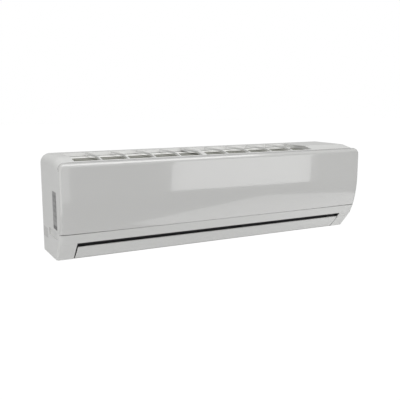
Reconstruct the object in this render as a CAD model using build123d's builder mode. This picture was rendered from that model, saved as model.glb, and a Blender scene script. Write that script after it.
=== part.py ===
"""Wall-mounted indoor unit of a mini split air conditioner.

Frame: X to the right seen from the room, -Y into the room, +Z up.  The origin is the centre
of the wall plate's screw pattern, on the wall.  Side outlines are drawn in (y, h), where h is
the height above the unit's underside.  The outlet duct has its own section axes (s, n):
s runs down the air stream from the louvre axis and n rises from the duct floor to its roof.
"""
import os
from math import cos, radians, sin, sqrt

from build123d import *

os.makedirs("parts", exist_ok=True)

# ---------------------------------------------------------------- driving sizes, in mm
case_width = 1060.0
case_height = 298.0
case_depth = 218.0
screw_height = 150.0  # centre of the wall screws above the underside
wall = 2.5  # moulded wall
fit_gap = 0.3  # between pieces that sit against each other
far = 700.0  # past every face of the unit

# Side outline of the casing
wall_gap = 2.0  # rear edge of the casing to the wall
toe_depth = 141.0  # underside, from the wall to the toe
crease_back = 30.0  # crease under the chin, back from the front face
crease_height = 55.5
chin_back = 17.0  # top of the chin, back from the front face
chin_top = 85.0
face_low = 190.0  # the flat of the front starts here and curves back below it
top_fall_start = 68.0  # the top falls forward from here, measured back from the front face
top_fall = 12.5
brow_depth = 11.0
brow_height = 13.7
top_end_radius = 28.0  # rounding of the ends seen from the front
panel_end_radius = 17.0  # the panel's own corners are tighter
front_end_radius = 10.0  # rounding of the ends seen from above
foot_end_radius = 6.0
crown_reach = 50.0  # the ends draw back softly over this width
crown_depth = 3.0

# Panel
panel_rim = 9.5  # depth of the panel's rim behind its face
panel_gap = 1.5  # between the panel's lower edge and the chin
hinge_y = -202.0
hinge_h = 278.5
hinge_x = 490.0
pin_r = 2.5
lug_r = 4.5
lug_width = 6.4
ledge_h = 266.5  # shelf of the casing under the panel's hinge
panel_end_y = -199.5
rail_nose_y = -196.8
channel_y = -192.3

# Top grille
grille_left = -483.0
grille_pitch = 82.4
grille_cells = 10
rib_width = 5.0
rib_depth = 6.0
centre_rib_width = 16.0
grille_rear_y = -32.0

# Outlet
outlet_left = -476.0
outlet_right = 472.0
louvre_h = 18.0  # louvre axis above the underside
louvre_sweep = 17.2  # clear radius round the louvre axis
duct_height = 78.0  # from floor to roof
duct_start = -62.0  # s where the fan's tongue stands
roof_front = -6.0
slope = sqrt(0.5)  # the duct runs down at 45 degrees
support_xs = (-219.0, 50.0)
support_width = 3.0
inner_axis_s = -6.0
inner_axis_n = 36.0
inner_chord = 34.0
inner_tail = 3.0
blade = 2.0
crank = 10.0
louvre_skin = 2.4
louvre_end_gap = 1.5

# Vanes
vanes_per_group = 5
vane_s = -40.0  # pivot
vane_front = 26.0
vane_back = 18.0
vane_top = 56.0
vane_foot = 1.5
vane_thick = 1.6
vane_boss_r = 3.0
vane_pin_r = 2.0
bar_reach = 16.0
bar_pin_r = 1.5
bar_width = 6.5
bar_thick = 2.0
bar_clear = 0.25
vane_pitch = (support_xs[1] - support_xs[0]) / 3

# Fan and motor
fan_y = -101.0
fan_h = 140.0
fan_r = 47.0
fan_left = -467.0
fan_right = 328.0
fan_rings = 9
fan_blades = 35
blade_depth = 10.0
fan_blade_thick = 1.1
ring_thick = 3.0
shaft_r = 4.0
shaft_clear = 0.05
fan_wall_left = -472.0
fan_wall_right = 333.0
motor_r = 45.0
motor_left = 346.0
motor_length = 54.0

# Heat exchanger
coil_thick = 25.4
coil_front_y = -182.5
coil_low_h = 100.5
coil_knee_h = 200.0
coil_plate = 1.0
tube_r = 3.5
tube_pitch = 21.0
row_offset = 6.35

# Filters
filter_thick = 3.0
filter_net = 0.8
filter_top_h = 284.5
filter_bar = 4.0

# Back pan
back_y = -12.0
groove_y = -50.0
groove_h = 60.0
volute_y = -46.0
trough_h = 165.0
pan_half = case_width / 2 - 15.0

# Pipes
gas_r = 6.35
liquid_r = 3.175
pipe_h = 30.0
gas_y = -35.0
liquid_y = -19.0
gas_end_x = 60.0
liquid_end_x = 100.0
nut_grip = 4.0  # nut over the collar at the end of the unit's own pipe
collar = 1.6  # how far that collar stands out
collar_length = 6.0
line_clear = 0.15  # nut round the line that is fitted to it

# Wall plate
plate_thick = 1.2
plate_half = 430.0
plate_low = 40.0
plate_high = 258.0
hook_xs = (-300.0, 0.0, 300.0)
hook_width = 40.0
screw_span_x = 600.0
screw_span_z = 100.0
wall_screw_r = 2.75

base = -screw_height
half = case_width / 2
front_y = -case_depth
face_radius = (chin_back**2 + (face_low - chin_top) ** 2) / (2 * chin_back)


def top_height(y):
    """Height of the top surface over y."""
    return case_height - max(0.0, front_y + top_fall_start - y) * top_fall / (top_fall_start - brow_depth)


def side_plane(x):
    """Section plane at x: local x is Y and local y is the height above the underside."""
    return Plane(origin=(x, 0, base), x_dir=(0, 1, 0), z_dir=(1, 0, 0))


def top_plane(h):
    """Level plane at height h above the underside."""
    return Plane.XY.offset(base + h)


def duct(s, n):
    """Duct section point (s, n) as (y, h)."""
    y = -toe_depth - slope * (s + n - louvre_sweep)
    h = louvre_h + slope * (n - louvre_sweep - s)
    return (y, h)


def duct_level(h, n):
    """Point at height h on the line n above the duct floor."""
    return duct(n - louvre_sweep - (h - louvre_h) / slope, n)


def duct_plane(x, s, n):
    """Plane that faces the duct roof: local x is X and local y runs up the air stream."""
    y, h = duct(s, n)
    return Plane(origin=(x, y, base + h), x_dir=(1, 0, 0), z_dir=(0, -slope, slope))


def box(x0, x1, y0, y1, h0, h1, mode=Mode.ADD):
    """Block between two corners, heights above the underside."""
    with Locations(((x0 + x1) / 2, (y0 + y1) / 2, base + (h0 + h1) / 2)):
        Box(abs(x1 - x0), abs(y1 - y0), abs(h1 - h0), mode=mode)


def slab(points, x0, x1, mode=Mode.ADD):
    """Prism across the unit from x0 to x1 over a side outline."""
    with BuildSketch(side_plane(x0)) as section:
        with BuildLine():
            Polyline(*points, close=True)
        make_face()
    extrude(section.sketch, amount=x1 - x0, mode=mode)


def rod(x0, x1, y, h, radius, mode=Mode.ADD):
    """Cylinder along X."""
    with BuildSketch(side_plane(x0)) as section:
        with Locations((y, h)):
            Circle(radius)
    extrude(section.sketch, amount=x1 - x0, mode=mode)


def save(piece, name):
    piece.part.label = name
    export_step(piece.part, f"parts/{name}.step")


# ---------------------------------------------------------------- outer form
def roll(distance, radius):
    """How far an edge of this radius has drawn in at a distance from the end."""
    if distance >= radius:
        return 0.0
    return radius - sqrt(radius**2 - (radius - distance) ** 2)


def outline(x, inset, front, top, foot):
    """Closed side outline of the unit, drawn in by the given amounts."""
    y = front_y + inset + front
    h = case_height - inset - top
    low = foot + inset
    with BuildSketch(side_plane(x)) as sketch:
        with BuildLine():
            Polyline((-wall_gap, low), (-toe_depth + inset + front, low), (y + crease_back, crease_height),
                     (y + chin_back, chin_top))
            TangentArc((y, face_low), (y + chin_back, chin_top), tangent=(0, -1))
            Line((y, face_low), (y, h - top_fall - brow_height))
            TangentArc((y, h - top_fall - brow_height), (y + brow_depth, h - top_fall), tangent=(0, 1))
            Polyline((y + brow_depth, h - top_fall), (y + top_fall_start, h), (-wall_gap, h), (-wall_gap, low))
        make_face()
    return sketch.sketch


def form(inset, end_radius):
    """The whole outer form, drawn in by inset, with rounded and softly drawn-in ends."""
    end = half - inset
    steps = [crown_reach, 39.0, 28.0, 21.0, 15.5, 10.0, 6.8, 4.2, 2.2, 0.9, 0.2, 0.0]
    with BuildPart() as body:
        extrude(outline(-end + crown_reach, inset, 0, 0, 0), amount=2 * (end - crown_reach))
        for side in (-1, 1):
            sections = []
            for d in steps[::side]:
                crown = crown_depth * (1 - d / crown_reach) ** 2
                front = roll(d, front_end_radius - inset) + crown
                top = roll(d, end_radius - inset)
                foot = roll(d, foot_end_radius - inset)
                sections.append(outline(side * (end - d), inset, front, top, foot))
            loft(sections, ruled=True)
    return body.part


def front_inside(h):
    """Inner face of the casing's front wall at height h."""
    radius = face_radius - casing_depth - wall
    return front_y + face_radius - sqrt(radius**2 - max(0.0, face_low - h) ** 2)


def front_region(depth, low, ledge, step_y):
    """Everything in front of a line that runs behind the face at this depth."""
    radius = face_radius - depth
    centre_y = front_y + face_radius
    low_y = centre_y - sqrt(radius**2 - (face_low - low) ** 2)
    face_y = front_y + depth
    with BuildPart() as region:
        with BuildSketch(side_plane(-far)) as section:
            with BuildLine():
                Line((-far, low), (low_y, low))
                TangentArc((face_y, face_low), (low_y, low), tangent=(0, -1))
                Polyline((face_y, face_low), (face_y, ledge), (step_y, ledge), (step_y, far), (-far, far),
                         (-far, low))
            make_face()
        extrude(section.sketch, amount=2 * far)
    return region.part


outer_form = form(0.0, top_end_radius)
inner_form = form(wall, top_end_radius)


# ---------------------------------------------------------------- front casing
panel_low = chin_top + panel_gap
casing_depth = panel_rim + 0.5
grille_right = grille_left + grille_cells * grille_pitch
rib_xs = [grille_left + i * grille_pitch for i in range(1, grille_cells)]
centre_rib_x = rib_xs[grille_cells // 2 - 1]
window_low = chin_top + 20.0
window_high = ledge_h - 8.0
rail_low = case_height - top_fall
ear_x = hinge_x + lug_width / 2 + 0.6 + 1.5
display_x = 395.0
display_h = 218.0
display_width = 66.0
display_height = 24.0
button_x = 395.0
button_h = 192.0
button_r = 4.3
button_travel = 1.5
cover_x = pan_half - 43.0
cover_h = 226.0
cover_width = 60.0
cover_height = 64.0
label_y = (-172.0, -129.0)
label_h = (94.0, 203.0)
label_depth = 1.2
knockout_y = (-58.0, -6.0)
knockout_h = (50.0, 80.0)
grip_y = (-168.0, -76.0)
grip_h = (67.0, 88.0)
grip_depth = 6.0
screw_xs = (-400.0, -85.0, 260.0)
flange_s = -20.0
flange_n = duct_height - fit_gap - wall
front_skin_y = front_y + casing_depth
front_wall_y = front_skin_y + wall

with BuildPart() as hollow:
    add(inner_form)
    add(front_region(casing_depth + wall, chin_top - wall, ledge_h - wall, channel_y + wall), mode=Mode.SUBTRACT)

open_left = outlet_left - wall - 0.2
open_right = outlet_right + wall + 0.2
ear_width = 3.0
skirt_right = grille_right + 140.0

with BuildPart() as casing_additions:
    # ribs of the top grille
    for x in rib_xs:
        width = centre_rib_width if x == centre_rib_x else rib_width
        rib = []
        for y, drop in ((channel_y + 1, 0), (front_y + top_fall_start, 0), (grille_rear_y + 2, 0),
                        (grille_rear_y + 2, rib_depth), (front_y + top_fall_start, rib_depth),
                        (channel_y + 1, rib_depth)):
            rib.append((y, top_height(y) - drop))
        slab(rib, x - width / 2, x + width / 2)
    # skirt behind the grille, down to the filters
    box(grille_left, skirt_right, grille_rear_y, grille_rear_y + wall, filter_top_h + 2.5, case_height - 1)
    # flange of the chin that is screwed to the duct roof
    crease_y = front_y + crease_back
    web_low = crease_height + 1.2
    web_high = web_low + wall
    flange = [duct(flange_s, flange_n), duct(flange_s, flange_n + wall), duct_level(web_high, flange_n + wall),
              (crease_y - 0.3, web_high), (crease_y + 1, web_low), duct_level(web_low, flange_n)]
    slab(flange, open_left, open_right)
    # ears that carry the panel's pins, and the backs of the finger grips
    for side in (-1, 1):
        x0 = side * ear_x - ear_width / 2
        rod(x0, x0 + ear_width, hinge_y, hinge_h, lug_r)
        box(x0, x0 + ear_width, hinge_y - lug_r, hinge_y + lug_r, ledge_h - 1, hinge_h)
        inner = side * (half - wall + 0.5)
        box(inner, side * (half - grip_depth - wall), grip_y[0] - wall, grip_y[1] + wall,
            grip_h[0] - wall, grip_h[1] + wall)

with BuildPart() as casing_cuts:
    # channel behind the panel's upper edge, and the bevel under the rail's nose
    box(-half + wall, half - wall, rail_nose_y - 1, channel_y, ledge_h, rail_low - 1.0)
    slab([(rail_nose_y - 1, rail_low - 1.1), (rail_nose_y + 2.0, rail_low - 1.1),
          (rail_nose_y - 1, rail_low + 1.9)], -half, half)
    # cells of the top grille
    edges = [grille_left, *rib_xs, grille_right]
    for left, right in zip(edges, edges[1:]):
        left += (centre_rib_width if left == centre_rib_x else rib_width) / 2
        right -= (centre_rib_width if right == centre_rib_x else rib_width) / 2
        box(left, right, channel_y + wall, grille_rear_y, case_height - 30, case_height + 1)
    # windows of the front wall: filters, display, button and terminals
    box(grille_left + 3, grille_right - 3, front_y - 1, front_wall_y + 8, window_low, window_high)
    display_half = display_width / 2 + fit_gap
    box(display_x - display_half, display_x + display_half, front_y, front_wall_y + 1,
        display_h - display_height / 2 - fit_gap, display_h + display_height / 2 + fit_gap)
    box(cover_x - 25, cover_x + 25, front_y, front_wall_y + 1, cover_h - 25, cover_h + 25)
    with BuildSketch(Plane.XZ.offset(-front_wall_y - 3)):
        with Locations((button_x, base + button_h)):
            Circle(button_r + 0.1)
    extrude(amount=20)
    # bores for the panel's pins and the casing's screws, and gaps round the louvre supports
    for side in (-1, 1):
        rod(side * ear_x - 2, side * ear_x + 2, hinge_y, hinge_h, pin_r + 0.1)
    for x in screw_xs:
        with BuildSketch(duct_plane(x, -12, flange_n - 1)):
            Circle(2.0)
        extrude(amount=wall + 2)
    for x in support_xs:
        gap_half = support_width / 2 + fit_gap
        box(x - gap_half, x + gap_half, -179, -160, 60, 80)
    # sides: recess of the rating plate, finger grips and pipe openings
    box(-half - 1, -half + label_depth, *label_y, *label_h)
    for side in (-1, 1):
        with BuildSketch(Plane.XZ.offset(-grip_y[1])):
            with BuildLine():
                Polyline((side * (half + 1), base + grip_h[0]), (side * (half - wall), base + grip_h[0]),
                         (side * (half - grip_depth), base + grip_h[1]), (side * (half + 1), base + grip_h[1]),
                         close=True)
            make_face()
        extrude(amount=grip_y[1] - grip_y[0])
        box(side * (half + 1), side * (half - wall - 1), *knockout_y, *knockout_h)

with BuildPart() as front_casing:
    add(outer_form)
    add(front_region(casing_depth, chin_top, ledge_h, rail_nose_y), mode=Mode.SUBTRACT)
    add(hollow.part, mode=Mode.SUBTRACT)
    # the outlet: the slope and the underside are open between the cheeks
    slab([(1, -1), (1, wall + 1), (-toe_depth + 12, wall + 1),
          duct(flange_s, duct_height), duct_level(crease_height, duct_height), (crease_y - 1, crease_height),
          (front_y - 20, crease_height - 12), (front_y - 20, -1)], open_left, open_right, mode=Mode.SUBTRACT)
    add(casing_additions.part)
    add(casing_cuts.part, mode=Mode.SUBTRACT)
save(front_casing, "front_casing")

for name, side in (("knockout_cover_left", -1), ("knockout_cover_right", 1)):
    with BuildPart() as knockout:
        box(side * half, side * (half - wall), knockout_y[0] + fit_gap, knockout_y[1] - fit_gap,
            knockout_h[0] + fit_gap, knockout_h[1] - fit_gap)
        inside = side * (half - wall)
        for h in (knockout_h[0] + 10, knockout_h[1] - 10):
            box(inside, inside - side * 1.5, knockout_y[0] + 2, knockout_y[1] - 2, h - 1, h + 1)
    save(knockout, name)

with BuildPart() as rating_plate:
    box(-half + label_depth, -half + label_depth - 0.5, label_y[0] + 1, label_y[1] - 1,
        label_h[0] + 1, label_h[1] - 1)
save(rating_plate, "rating_plate")

# ---------------------------------------------------------------- front panel
with BuildPart() as front_panel:
    add(form(0.0, panel_end_radius))
    add(front_region(panel_rim, panel_low, ledge_h + 2, panel_end_y), mode=Mode.INTERSECT)
    with BuildPart(mode=Mode.PRIVATE) as cavity:
        add(form(wall, panel_end_radius))
        box(-far, far, -far, far, panel_low + wall, far, mode=Mode.INTERSECT)
    add(cavity.part, mode=Mode.SUBTRACT)
    for side in (-1, 1):
        x = side * hinge_x
        with BuildSketch(side_plane(x - lug_width / 2)):
            with Locations((hinge_y, hinge_h)):
                Circle(lug_r)
            with Locations(((front_y + wall - 1 + hinge_y) / 2, hinge_h - lug_r / 2)):
                Rectangle(hinge_y - front_y - wall + 1, lug_r)
        extrude(amount=lug_width)
        pin_start = x - lug_width / 2 if side > 0 else ear_x * side - 1.5 - 0.8
        rod(pin_start, pin_start + lug_width + 0.6 + 3.0 + 0.8, hinge_y, hinge_h, pin_r)
save(front_panel, "front_panel")


# ---------------------------------------------------------------- back pan
# The fan's scroll runs down the back, under the fan and out along the duct floor.
volute_turn = radians(45)
volute_s = -85.0
volute_start = duct(volute_s, 0)
volute_r = (volute_y - volute_start[0]) / (1 - cos(volute_turn))
volute_end = (volute_y, volute_start[1] + volute_r * sin(volute_turn))
lip_back = 2.0
lip_y = -toe_depth + lip_back
lip_h = louvre_h - sqrt(louvre_sweep**2 - lip_back**2)
lip_turn = radians(26)
pan_left = outlet_left + 0.2
pan_right = outlet_right - 0.2
rail_drop = plate_high + plate_thick  # the unit's rail stands on the plate's hooks here
bearing_r = 11.0
seat_r = bearing_r + 0.05
motor_right = motor_left + motor_length
pipe_xs = (412.0, 424.0)


def vane_xs():
    """Places of the vanes, midway between the louvre supports and on past them."""
    first = support_xs[0] - 2.5 * vane_pitch
    return [first + i * vane_pitch for i in range(2 * vanes_per_group)]


with BuildPart() as rear_chassis:
    box(-pan_half, pan_half, back_y - wall, back_y, groove_h, 281.0)
    box(grille_left, skirt_right, back_y - wall, back_y, 280.0, case_height - wall - 1.5)
    box(-pan_half, pan_half, groove_y - wall, groove_y, wall + fit_gap, groove_h + wall)
    box(pan_left, pan_right, groove_y - wall, groove_y, 0, wall + fit_gap)
    box(-pan_half, pan_half, groove_y, back_y, groove_h, groove_h + wall)
    # underside from the toe to the pipe groove
    box(pan_left, pan_right, -toe_depth + 14, groove_y, 0, wall)
    with BuildSketch(side_plane(pan_left)):
        with BuildLine():
            Polyline((lip_y, lip_h), (lip_y, 0), (-toe_depth + 18, 0), (-toe_depth + 18, wall), duct(1, -wall),
                     duct(0, 0))
            lip_middle = (-toe_depth + louvre_sweep * sin(lip_turn), louvre_h - louvre_sweep * cos(lip_turn))
            ThreePointArc(duct(0, 0), lip_middle, (lip_y, lip_h))
        make_face()
    extrude(amount=pan_right - pan_left)
    # duct floor and scroll
    for x0, x1, s_end in ((pan_left, pan_right, duct_start), (fan_wall_left, fan_wall_right, volute_s)):
        slab([duct(s_end, 0), duct(0.5, 0), duct(0.5, -wall), duct(s_end, -wall)], x0, x1)
    with BuildSketch(side_plane(fan_wall_left)):
        with BuildLine():
            TangentArc(volute_start, volute_end, tangent=(slope, slope))
            Polyline(volute_end, (volute_y, trough_h), (volute_y + wall, trough_h),
                     (volute_y + wall, volute_end[1]))
            TangentArc((volute_y + wall, volute_end[1]), duct(volute_s, -wall), tangent=(0, -1))
            Line(duct(volute_s, -wall), volute_start)
        make_face()
    extrude(amount=fan_wall_right - fan_wall_left)
    # trough under the rear bank
    box(fan_wall_left, fan_wall_right, -60.0, back_y - 1, trough_h, trough_h + wall)
    box(fan_wall_left, fan_wall_right, -60.0, -58.0, trough_h, trough_h + 11)
    # walls at the ends of the fan chamber
    chamber = [(back_y - 1, groove_h + 1), (back_y - 1, trough_h + 1), (-58, trough_h + 1), (-62, 174),
               (-104, 240), (-152, 193), (-152, 107), (-147, 105), duct(duct_start, duct_height + 2),
               duct(duct_start, -wall), (groove_y - 1, groove_h + 1)]
    for x0, hole in ((fan_wall_left - wall, bearing_r), (fan_wall_right, 14.0)):
        slab(chamber, x0, x0 + wall)
        rod(x0 - 1, x0 + wall + 1, fan_y, fan_h, hole, mode=Mode.SUBTRACT)
    # wall that closes the duct beside the fan chamber
    under_roof = duct_height - fit_gap
    slab([duct(duct_start + 2, 0), duct(duct_start + 2, under_roof), duct(duct_start, under_roof),
          duct(duct_start, 0)], fan_wall_right + 0.5, pan_right)
    # side walls
    for side in (-1, 1):
        box(side * pan_half, side * (pan_half + wall), -100.0, -wall_gap - 1, 4.0, 270.0)
    # motor cradle
    with BuildSketch(side_plane(motor_left + 8)):
        with BuildLine():
            Polyline((back_y - 1, groove_h + 1), (back_y - 1, fan_h), (fan_y - 58, fan_h),
                     (fan_y - 58, fan_h - 22), duct(duct_start + 1, duct_height + 8), duct(duct_start + 1, 0),
                     (groove_y, groove_h + 1), close=True)
        make_face()
        with Locations((fan_y, fan_h)):
            Circle(motor_r + fit_gap, mode=Mode.SUBTRACT)
    extrude(amount=motor_length - 16)
    # rail that hangs on the wall plate's hooks, and pads lower down
    box(-plate_half, plate_half, back_y - 1, -4.0, 271.0, 273.5)
    box(-plate_half, plate_half, -7.0, -4.0, rail_drop, 273.5)
    for side in (-1, 1):
        box(side * 360, side * 400, back_y - 1, -plate_thick - fit_gap, 70.0, 95.0)
    # holes: vane pivots and the pipes' way down
    for x in vane_xs():
        with BuildSketch(duct_plane(x, vane_s, -wall - 1)):
            Circle(vane_pin_r + 0.1)
        extrude(amount=wall + 2, mode=Mode.SUBTRACT)
    box(pipe_xs[0] - 12, pipe_xs[1] + 8, groove_y + 1, back_y - wall - 0.5, groove_h - 1, groove_h + wall + 1,
        mode=Mode.SUBTRACT)
save(rear_chassis, "rear_chassis")

# ---------------------------------------------------------------- outlet duct and drain pan
pan_y = (-186.5, -152.0)
pan_floor = 88.0
pan_rim_h = 104.0
coil_left = fan_wall_left + coil_plate
coil_right = fan_wall_right - coil_plate
port_r = 7.0
port_bore_r = 5.2
port_left = fan_wall_left - 14.0
port_right = fan_wall_right + 22.0
cheek_in = 1.2
inner_axis = duct(inner_axis_s, inner_axis_n)
louvre_axis = duct(0, louvre_sweep)
pivot_hole = pin_r + 0.1

with BuildPart() as outlet_duct:
    roof_top = duct_height + wall
    slab([duct(duct_start + 3, duct_height), duct(roof_front, duct_height), duct(roof_front, roof_top),
          duct(duct_start + 3, roof_top)], outlet_left, outlet_right)
    rod(fan_wall_left + fit_gap, fan_wall_right - fit_gap, *duct(duct_start + 3, duct_height + 1.5), 3.0)
    # drain pan in front of the tongue
    box(fan_wall_left, fan_wall_right, *pan_y, pan_floor, pan_floor + wall)
    box(fan_wall_left, fan_wall_right, pan_y[0], pan_y[0] + 2, pan_floor, pan_rim_h)
    box(fan_wall_left, fan_wall_right, pan_y[1] - 2, pan_y[1], pan_floor, pan_rim_h)
    slab([(pan_y[1] - 2, pan_rim_h), (pan_y[1] - 2, pan_floor + 6), duct(duct_start + 20, duct_height + 1),
          duct(duct_start + 3, duct_height + 1), (-147, 104.8), (-150, 105.5)],
         fan_wall_left + fit_gap, fan_wall_right - fit_gap)
    for x0 in (fan_wall_left, fan_wall_right - wall):
        box(x0, x0 + wall, *pan_y, pan_floor, coil_low_h - 1.0)
    slab([(pan_y[0], pan_floor + 1), (pan_y[0] + 3, pan_floor + 1), duct(roof_front - 8, duct_height + 1),
          duct(roof_front, duct_height + 1), duct(roof_front, roof_top)], fan_wall_left, fan_wall_right)
    # drain ports at both ends
    port_y = (pan_y[0] + pan_y[1]) / 2
    port_h = pan_floor + 6.0
    rod(port_left, fan_wall_left, port_y, port_h, port_r)
    rod(fan_wall_right, port_right, port_y, port_h, port_r)
    rod(port_left, fan_wall_left + wall, port_y, port_h, port_bore_r, mode=Mode.SUBTRACT)
    rod(fan_wall_right - wall, port_right, port_y, port_h, port_bore_r, mode=Mode.SUBTRACT)
    # end walls with the louvre bearings
    under_flange = flange_n - fit_gap
    cheek = [duct(duct_start, -4), duct(duct_start, roof_top),
             duct(flange_s - fit_gap, roof_top), duct(flange_s - fit_gap, under_flange),
             duct(-7.0, under_flange), duct(1.0, under_flange - 8), (-toe_depth + cheek_in, 1.0), (-105, 1.0)]
    for x0 in (outlet_left - wall, outlet_right):
        slab(cheek, x0, x0 + wall)
        for axis in (louvre_axis, inner_axis):
            rod(x0 - 1, x0 + wall + 1, *axis, pivot_hole, mode=Mode.SUBTRACT)
    # supports between the vanes
    for x in support_xs:
        x0 = x - support_width / 2
        web = [duct(-17, duct_height + 1), duct(-8, duct_height + 1), duct(-8, inner_axis_n),
               duct(-3, louvre_sweep), duct(-4, louvre_sweep - 4), duct(-13, louvre_sweep - 2),
               duct(-17, louvre_sweep + 6)]
        slab(web, x0, x0 + support_width)
        for axis in (louvre_axis, inner_axis):
            rod(x0, x0 + support_width, *axis, 5.0)
            rod(x0 - 1, x0 + support_width + 1, *axis, 2.1, mode=Mode.SUBTRACT)
    # bosses for the casing screws
    for x in screw_xs:
        with BuildSketch(duct_plane(x, -12, duct_height)):
            Circle(4.0)
        extrude(amount=12)
        with BuildSketch(duct_plane(x, -12, duct_height - 1)):
            Circle(1.75)
        extrude(amount=11, mode=Mode.SUBTRACT)
save(outlet_duct, "outlet_duct")

with BuildPart() as drain_plug:
    rod(port_left - 3, port_left, port_y, port_h, port_r)
    rod(port_left, fan_wall_left - 4, port_y, port_h, port_bore_r)
save(drain_plug, "drain_plug")

# ---------------------------------------------------------------- louvres
louvre_foot = (-toe_depth - 0.5, 2.2)
louvre_head = (front_y + crease_back + 11.6, crease_height - 13.7)
louvre_left = outlet_left + louvre_end_gap
louvre_right = outlet_right - louvre_end_gap
lug_gap = 0.8
lug_thick = 3.0
end_lug = 2.0
crank_pin_r = 1.5
link_x = louvre_right - 6.0


def along(a, b, t, out):
    """Point a share t of the way from a to b, set out to the front by the distance out."""
    dy = b[0] - a[0]
    dh = b[1] - a[1]
    length = sqrt(dy * dy + dh * dh)
    return (a[0] + t * dy - out * dh / length, a[1] + t * dh + out * dy / length)


def lug(x0, x1, axis, radius, tip):
    """Plate across the blade from its axis to a point on the blade."""
    dy = tip[0] - axis[0]
    dh = tip[1] - axis[1]
    length = sqrt(dy * dy + dh * dh)
    ny = -dh / length * radius
    nh = dy / length * radius
    rod(x0, x1, *axis, radius)
    slab([(axis[0] + ny, axis[1] + nh), (axis[0] - ny, axis[1] - nh), (tip[0] - ny * 1.4, tip[1] - nh * 1.4),
          (tip[0] + ny * 1.4, tip[1] + nh * 1.4)], x0, x1)


def crank_arm(x0, x1, axis, pin_side):
    """Short arm up the air stream with the pin of the link."""
    tip = (axis[0] + slope * crank, axis[1] + slope * crank)
    lug(x0, x1, axis, 3.5, tip)
    rod(x0, x1, *tip, 3.0)
    rod(x0 + pin_side, x0 + 0.1, *tip, crank_pin_r)


with BuildPart() as outer_louvre:
    with BuildSketch(side_plane(louvre_left)):
        with BuildLine():
            ThreePointArc(louvre_foot, along(louvre_foot, louvre_head, 0.5, 1.6), louvre_head)
            Line(louvre_head, along(louvre_foot, louvre_head, 1.0, -louvre_skin))
            ThreePointArc(along(louvre_foot, louvre_head, 1.0, -louvre_skin),
                          along(louvre_foot, louvre_head, 0.5, 1.6 - louvre_skin),
                          along(louvre_foot, louvre_head, 0.0, -louvre_skin))
            Line(along(louvre_foot, louvre_head, 0.0, -louvre_skin), louvre_foot)
        make_face()
    extrude(amount=louvre_right - louvre_left)
    skin_mid = along(louvre_foot, louvre_head, 0.2, -0.8)
    for x0 in (louvre_left, louvre_right - end_lug):
        lug(x0, x0 + end_lug, louvre_axis, 4.0, skin_mid)
    for x in support_xs:
        for x0 in (x - support_width / 2 - lug_gap - lug_thick, x + support_width / 2 + lug_gap):
            lug(x0, x0 + lug_thick, louvre_axis, 4.0, skin_mid)
        rod(x - 5, x + 5, *louvre_axis, 2.0)
    rod(louvre_left - wall - 1, louvre_left + 1, *louvre_axis, pin_r)
    rod(louvre_right - 1, outlet_right + wall + 6, *louvre_axis, pin_r)
    crank_arm(louvre_right - end_lug, louvre_right, louvre_axis, -4.5)
save(outer_louvre, "outer_louvre")

inner_back = inner_axis_s + 2.0
inner_low = inner_axis_n - inner_tail
inner_high = inner_low + inner_chord
with BuildPart() as inner_louvre:
    slab([duct(inner_back, inner_low), duct(inner_back, inner_high), duct(inner_back + 1.2, inner_high),
          duct(inner_back + blade, inner_high - 6), duct(inner_back + blade, inner_low)], louvre_left, louvre_right)
    inner_tip = duct(inner_back + 0.5, inner_axis_n + 5)
    notches = [(link_x - 3, louvre_right - end_lug, 8.5)]
    notches += [(x - support_width / 2 - lug_gap, x + support_width / 2 + lug_gap, 7) for x in support_xs]
    for x0, x1, rise in notches:
        low, high = inner_low - 1, inner_axis_n + rise
        slab([duct(inner_back - 1, low), duct(inner_back - 1, high), duct(inner_back + 3, high),
              duct(inner_back + 3, low)], x0, x1, mode=Mode.SUBTRACT)
    for x in support_xs:
        for x0 in (x - support_width / 2 - lug_gap - lug_thick, x + support_width / 2 + lug_gap):
            lug(x0, x0 + lug_thick, inner_axis, 3.5, inner_tip)
        rod(x - 5, x + 5, *inner_axis, 2.0)
    for x0 in (louvre_left, louvre_right - end_lug):
        lug(x0, x0 + end_lug, inner_axis, 3.5, inner_tip)
    rod(louvre_left - wall - 1, louvre_left + 1, *inner_axis, pin_r)
    rod(louvre_right - 1, outlet_right + wall + 0.5, *inner_axis, pin_r)
    crank_arm(louvre_right - end_lug, louvre_right, inner_axis, -4.5)
save(inner_louvre, "inner_louvre")

link_low = duct(-crank, louvre_sweep)
link_high = duct(inner_axis_s - crank, inner_axis_n)
with BuildPart() as louvre_link:
    lug(link_x, link_x + 3.0, link_low, 3.0, link_high)
    rod(link_x, link_x + 3.0, *link_high, 3.4)
    rod(link_x, link_x + 3.0, *link_low, 3.4)
    rod(link_x - 1, link_x + 4.0, *link_low, crank_pin_r + 0.08, mode=Mode.SUBTRACT)
    rod(link_x - 1, link_x + 4.0, *link_high, crank_pin_r + 0.3, mode=Mode.SUBTRACT)
save(louvre_link, "louvre_link")

stepper_reach = 8.0
stepper_r = 12.0
with BuildPart() as louvre_motor:
    stepper_y = louvre_axis[0] + stepper_reach * 0.792
    stepper_h = louvre_axis[1] + stepper_reach * 0.610
    rod(outlet_right + wall + 1.0, outlet_right + wall + 19, stepper_y, stepper_h, stepper_r)
    rod(outlet_right + wall, outlet_right + wall + 2, *louvre_axis, 4.5)
    box(outlet_right + wall, outlet_right + wall + 1.0, stepper_y - 4, stepper_y + 4,
        stepper_h - 17, stepper_h + 17)
    rod(outlet_right + wall - 1, outlet_right + wall + 8, *louvre_axis, pivot_hole, mode=Mode.SUBTRACT)
save(louvre_motor, "louvre_motor")

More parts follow.
